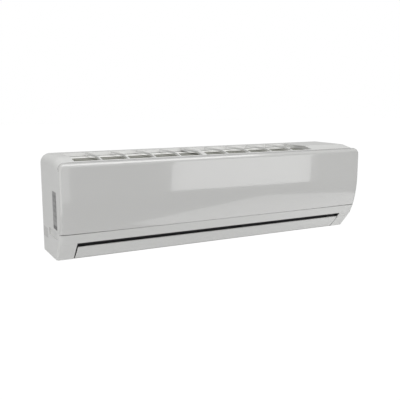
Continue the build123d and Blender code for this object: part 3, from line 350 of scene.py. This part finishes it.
# lugs and pins that the panel hangs from, one at each upper corner
hinge_x = 0.490
hinge_y = -0.202
hinge_z = 0.2785 - screw_height
lug_root = panel_front + 0.0020  # within the panel's wall
lug_radius = 0.0045
lug_half = 0.0032
lug_edge = 0.0003
lug_steps = 16
pin_radius = 0.0025
pin_chamfer = 0.0004
pin_ends = {"left": (-0.4976, -0.4868), "right": (0.4868, 0.4976)}
hinge_pieces = []
for where, (pin_start, pin_end) in pin_ends.items():
    lug_x = -hinge_x if where == "left" else hinge_x
    lug = [(lug_root, hinge_z - lug_radius), (lug_root, hinge_z)]
    for k in range(lug_steps + 1):
        turn = pi / 2 - pi * k / lug_steps
        lug.append((hinge_y + lug_radius * cos(turn), hinge_z + lug_radius * sin(turn)))
    hinge_pieces.append(
        prism(f"hinge_lug_{where}", lug, lug_x - lug_half, lug_x + lug_half, lug_edge))
    pin_tip = pin_radius - pin_chamfer
    pin = [(pin_start, pin_tip), (pin_start + pin_chamfer, pin_radius),
           (pin_end - pin_chamfer, pin_radius), (pin_end, pin_tip)]
    hinge_pieces.append(turned(f"hinge_pin_{where}", pin, hinge_y, hinge_z))
for piece in hinge_pieces:
    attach(piece, "panel")


class Finish(ShaderTree):
    """A surface finish: a Principled shader and the nodes that vary it."""

    def __init__(self, name, **sockets):
        self.material = bpy.data.materials.new(name)
        super().__init__(self.material)
        shader = self.node("ShaderNodeBsdfPrincipled", **sockets)
        self.surface = shader.socket.node
        self.node("ShaderNodeOutputMaterial", Surface=shader)
        self.place = self.node("ShaderNodeTexCoord", output="Object")
        split = self.node("ShaderNodeSeparateXYZ", Vector=self.place).socket.node
        self.x, self.y, self.z = (Shade(self.tree, socket) for socket in split.outputs)

    def set(self, **sockets):
        """Give the surface's own sockets their values or links."""
        for key, value in sockets.items():
            plug(self.tree, self.surface.inputs[key.replace("_", " ")], value)

    def noise(self, scale, detail=2.0, distortion=0.0):
        """Cloudy value over the piece's own coordinates."""
        return self.node("ShaderNodeTexNoise", Vector=self.place, Scale=scale, Detail=detail,
                         Distortion=distortion)

    def blend(self, factor, first, second):
        """Colour between two others, picked by a factor."""
        ends = [end if isinstance(end, Shade) else (*end, 1) for end in (first, second)]
        return self.node("ShaderNodeMix", {"data_type": "RGBA"}, output=2,
                         Factor=factor, A=ends[0], B=ends[1])

    def tint(self, factor, first, second):
        """Colour the surface between two colours."""
        self.set(Base_Color=self.blend(factor, first, second))

    def bump(self, height, strength, distance):
        """Raise the surface a little where a value is high."""
        self.set(Normal=self.node("ShaderNodeBump", Height=height, Strength=strength,
                                  Distance=distance))


gloss_white = Finish("gloss_white", Roughness=0.12, Coat_Weight=1.0, Coat_Roughness=0.03,
                     Specular_IOR_Level=0.5)
tone = gloss_white.noise(3.0)
gloss_white.tint(tone, (0.595, 0.595, 0.585), (0.612, 0.612, 0.600))
ripple = gloss_white.noise(6.0, detail=1.0)
gloss_white.bump(ripple, strength=0.02, distance=0.002)
for piece in [panel] + hinge_pieces:
    piece.data.materials.append(gloss_white.material)

# ---------------------------------------------------------------- casing
# Satin white moulding that carries the grille, the cheeks and the chin, with the louvre and the
# small covers in the same plastic.  The ledge behind the grille is painted a brighter white, as
# painted light where the grille keeps the lamps off it.
ledge_front = -0.0335
ledge_low = 0.1365
ledge_top = 0.1474
ledge_half_width = 0.4837
satin_white = Finish("satin_white", Specular_IOR_Level=0.5)
tone = satin_white.noise(5.0, detail=3.0)
body_white = satin_white.blend(tone, (0.665, 0.667, 0.655), (0.690, 0.692, 0.680))
# painted light: the ledge behind the grille gets a brighter white than the rest of the casing
ledge_painted_light = ((satin_white.y > ledge_front) * (satin_white.z > ledge_low) * (satin_white.z < ledge_top)
         * (satin_white.x * satin_white.x < ledge_half_width**2))
satin_white.tint(ledge_painted_light, body_white, (0.86, 0.86, 0.85))
grain = satin_white.noise(1500.0)
satin_white.set(Roughness=0.32 + 0.1 * grain)
satin_white.bump(grain, strength=0.08, distance=0.0002)


def coat(node_names, finish):
    """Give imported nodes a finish."""
    for name in node_names:
        mesh = nodes[name].data
        mesh.materials.clear()
        mesh.materials.append(finish.material)
        smooth(mesh)


coat(["front_casing", "outer_louvre", "terminal_cover", "test_button", "room_sensor", "pipe_clamp"],
     satin_white)

# A thin cheek closes the space under the top beyond each end of the grille, from the filter up
# to the inside of the top, so that the end cells show plastic and not the dark behind.
cheek_outline = [(ledge_front, 0.1350), (-0.1500, 0.1350), (-0.1720, 0.1290), (-0.1800, 0.1215),
                 (-0.1800, 0.1388), (-0.1500, 0.1454), (ledge_front, 0.1454)]
cheek_wall = 0.0016
cheek_edge = 0.0002
for where, cheek_start in (("left", -0.4857), ("right", 0.3411)):
    cheek = prism(f"grille_cheek_{where}", cheek_outline, cheek_start, cheek_start + cheek_wall,
                  cheek_edge)
    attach(cheek, "unit")
    cheek.data.materials.append(satin_white.material)

# The knock-outs for the pipes are drawn a shade greyer than the rest of the casing.
thin_white = Finish("thin_white", Roughness=0.4)
tone = thin_white.noise(60.0)
thin_white.tint(tone, (0.52, 0.52, 0.51), (0.60, 0.60, 0.59))
coat(["knockout_cover_left", "knockout_cover_right"], thin_white)

# ---------------------------------------------------------------- rating plate
# Blank foil label, stuck in the shallow recess of the casing's left side.  It is grey, with a
# darker foot and faint bands.
foil = Finish("foil", Roughness=0.35, Metallic=0.3)
cloud = foil.noise(45.0, detail=3.0)
label_foot = -0.045  # the label is darker below this height
bands_per_metre = 70.0
bands = ((foil.z + 1.0) * bands_per_metre) % 1.0 > 0.6
darkness = cloud * 0.9 + bands * 0.12 + (foil.z < label_foot) * 0.35
foil.tint(darkness, (0.50, 0.50, 0.50), (0.09, 0.09, 0.09))
coat(["rating_plate"], foil)

# ---------------------------------------------------------------- inside mouldings
# Back pan, bearing housing, motor clamp and control box in plain off-white plastic.  The pan
# hangs on the wall plate and carries all the rest of the unit.
dull_white = Finish("dull_white")
grain = dull_white.noise(400.0)
dull_white.tint(grain, (0.56, 0.56, 0.54), (0.62, 0.62, 0.60))
dull_white.set(Roughness=0.5 + 0.12 * grain)
dull_white.bump(grain, strength=0.1, distance=0.0003)
coat(["rear_chassis", "bearing_housing", "motor_clamp", "control_box"], dull_white)

# The motor is potted in chalky white resin with a few specks in it.
resin = Finish("resin", Roughness=0.7)
specks = resin.node("ShaderNodeTexVoronoi", Vector=resin.place, Scale=260.0)
resin.tint(specks < 0.12, (0.63, 0.62, 0.58), (0.42, 0.40, 0.36))
resin.bump(specks, strength=0.15, distance=0.0004)
coat(["fan_motor"], resin)

# ---------------------------------------------------------------- outlet
# Outlet duct with its drain pan, and the guide vanes that stand in it on their pivots, in dark
# grey, finely grained moulding.
dark_plastic = Finish("dark_plastic")
grain = dark_plastic.noise(500.0)
dark_plastic.tint(grain, (0.012, 0.012, 0.013), (0.02, 0.02, 0.022))
dark_plastic.set(Roughness=0.42 + 0.15 * grain)
dark_plastic.bump(grain, strength=0.1, distance=0.0003)
coat(["outlet_duct"] + [f"vane_{k}" for k in range(1, 11)], dark_plastic)

# The inner louvre is a dark grey blade with a low sheen, which catches the light in the outlet.
grey_plastic = Finish("grey_plastic")
grain = grey_plastic.noise(500.0)
grey_plastic.tint(grain, (0.045, 0.045, 0.048), (0.06, 0.06, 0.064))
grey_plastic.set(Roughness=0.36 + 0.12 * grain)
coat(["inner_louvre"], grey_plastic)

# ---------------------------------------------------------------- fan
# Cross-flow fan of glass-filled black plastic: long blades between rings, moulded with fine flow
# marks along them.
fan_black = Finish("fan_black")
flow = fan_black.noise(120.0, detail=4.0, distortion=0.6)
fan_black.tint(flow, (0.010, 0.010, 0.011), (0.028, 0.028, 0.030))
fan_black.set(Roughness=0.38 + 0.2 * flow)
coat(["cross_flow_fan"], fan_black)

# The fan's bearing and the plug of the unused drain port are rubber, a little dusty.
rubber = Finish("rubber", Specular_IOR_Level=0.3)
dust = rubber.noise(180.0, detail=3.0)
rubber.tint(dust, (0.014, 0.014, 0.014), (0.035, 0.034, 0.033))
rubber.set(Roughness=0.7 + 0.2 * dust)
coat(["drain_plug", "fan_bearing"], rubber)

# ---------------------------------------------------------------- filters
# Two curved frames under the grille, with a net of olive grey threads across them.  The net is
# painted paler at the rear, as painted light from above, and darker in front, as painted shade.
thread_pitch = 0.0024
thread_gap = 0.68  # share of the pitch between two threads
rear_y = -0.085
filter_net = Finish("filter_net", Roughness=0.6)
along_x = ((filter_net.x + 1.0) * (1 / thread_pitch)) % 1.0 > thread_gap
along_sheet = ((filter_net.y + filter_net.z + 1.0) * (1 / thread_pitch)) % 1.0 > thread_gap
threads = along_x + along_sheet - along_x * along_sheet
# painted shade on the front of the net and painted light on its rear, split at rear_y
net_in_painted_shade = filter_net.blend(threads, (0.165, 0.165, 0.147), (0.335, 0.335, 0.30))
net_in_painted_light = filter_net.blend(threads, (0.74, 0.74, 0.72), (0.88, 0.88, 0.86))
filter_net.tint(filter_net.y > rear_y, net_in_painted_shade, net_in_painted_light)
filter_net.bump(threads, strength=0.3, distance=0.0003)
coat(["air_filter_left", "air_filter_right"], filter_net)

# ---------------------------------------------------------------- coil
# Three banks of thin aluminium fins, pressed onto copper tubes.  They are drawn as fine ribs with
# painted shade, a dark grey, in the gaps between them.
fin_pitch = 0.0016
shaded_gap_share = 0.45  # of the pitch
fin_metal = Finish("fin_metal")
ribs = ((fin_metal.x + 1.0) * (1 / fin_pitch)) % 1.0
# painted shade: the gaps between the fins are coloured dark grey in place of their shadow
fin_metal.tint(ribs > shaded_gap_share, (0.10, 0.11, 0.12), (0.74, 0.77, 0.80))
fin_metal.set(Metallic=ribs > shaded_gap_share)
drift = fin_metal.noise(30.0)
fin_metal.set(Roughness=0.25 + 0.25 * drift)
fin_metal.bump(ribs, strength=0.5, distance=0.0006)
coat(["evaporator_front_lower", "evaporator_front_upper", "evaporator_rear"], fin_metal)

# Bends and pipes are copper tube, dulled in clouds.
copper = Finish("copper", Metallic=1.0)
grain = copper.noise(60.0, detail=3.0)
copper.tint(grain, (0.72, 0.36, 0.22), (0.55, 0.26, 0.16))
copper.set(Roughness=0.25 + 0.25 * grain)
coat(["return_bends", "gas_pipe", "liquid_pipe", "coil_sensor"], copper)

# The flare nuts are turned from brass.
brass = Finish("brass", Metallic=1.0)
grain = brass.noise(200.0)
brass.tint(grain, (0.75, 0.55, 0.25), (0.62, 0.45, 0.2))
brass.set(Roughness=0.22 + 0.2 * grain)
coat(["gas_flare_nut", "liquid_flare_nut"], brass)

# ---------------------------------------------------------------- sheet metal
# Wall plate, tube plates, cover, link, tie bars and stepper can, punched and bent from galvanised
# sheet, which shows its zinc crystals.
galvanised = Finish("galvanised", Metallic=1.0)
spangle = galvanised.node("ShaderNodeTexVoronoi", Vector=galvanised.place, Scale=90.0, output=1)
cast = galvanised.node("ShaderNodeSeparateColor", Color=spangle)
galvanised.tint(cast, (0.52, 0.54, 0.56), (0.68, 0.70, 0.72))
galvanised.set(Roughness=0.32 + 0.18 * cast)
coat(["wall_plate", "coil_plate_left", "coil_plate_right", "control_cover", "louvre_motor",
      "louvre_link", "vane_bar_left", "vane_bar_right"], galvanised)

# Shafts are ground and screws are plated, with fine rings along their length.
ground_steel = Finish("ground_steel", Metallic=1.0)
grain = ground_steel.noise(300.0)
ground_steel.tint(grain, (0.5, 0.5, 0.5), (0.65, 0.65, 0.65))
rings_per_metre = 2500.0
rings = (ground_steel.x + 1.0) * rings_per_metre % 1.0
ground_steel.set(Roughness=0.18 + 0.12 * rings)
coat(["fan_shaft", "motor_shaft", "casing_screws"], ground_steel)

# ---------------------------------------------------------------- electrics
# Green board under a thin lacquer, which lies on posts in the control box, with its components
# and the terminal block.
laminate = Finish("laminate", Coat_Weight=0.4)
grain = laminate.noise(300.0)
laminate.tint(grain, (0.02, 0.12, 0.05), (0.03, 0.17, 0.07))
laminate.set(Roughness=0.35 + 0.2 * grain)
coat(["circuit_board"], laminate)

# Components and terminal block have dull black cases.
case_black = Finish("case_black")
grain = case_black.noise(700.0)
case_black.tint(grain, (0.012, 0.012, 0.013), (0.03, 0.03, 0.032))
case_black.set(Roughness=0.45 + 0.2 * grain)
coat(["board_parts", "terminal_block"], case_black)

# The display module looks through the casing's front wall with a smoked window.
window_glass = Finish("window_glass", Coat_Weight=1.0, Coat_Roughness=0.02)
smoke = window_glass.noise(35.0, detail=1.0)
window_glass.tint(smoke, (0.006, 0.006, 0.008), (0.014, 0.014, 0.017))
window_glass.set(Roughness=0.12 + 0.06 * smoke)
coat(["display_module"], window_glass)
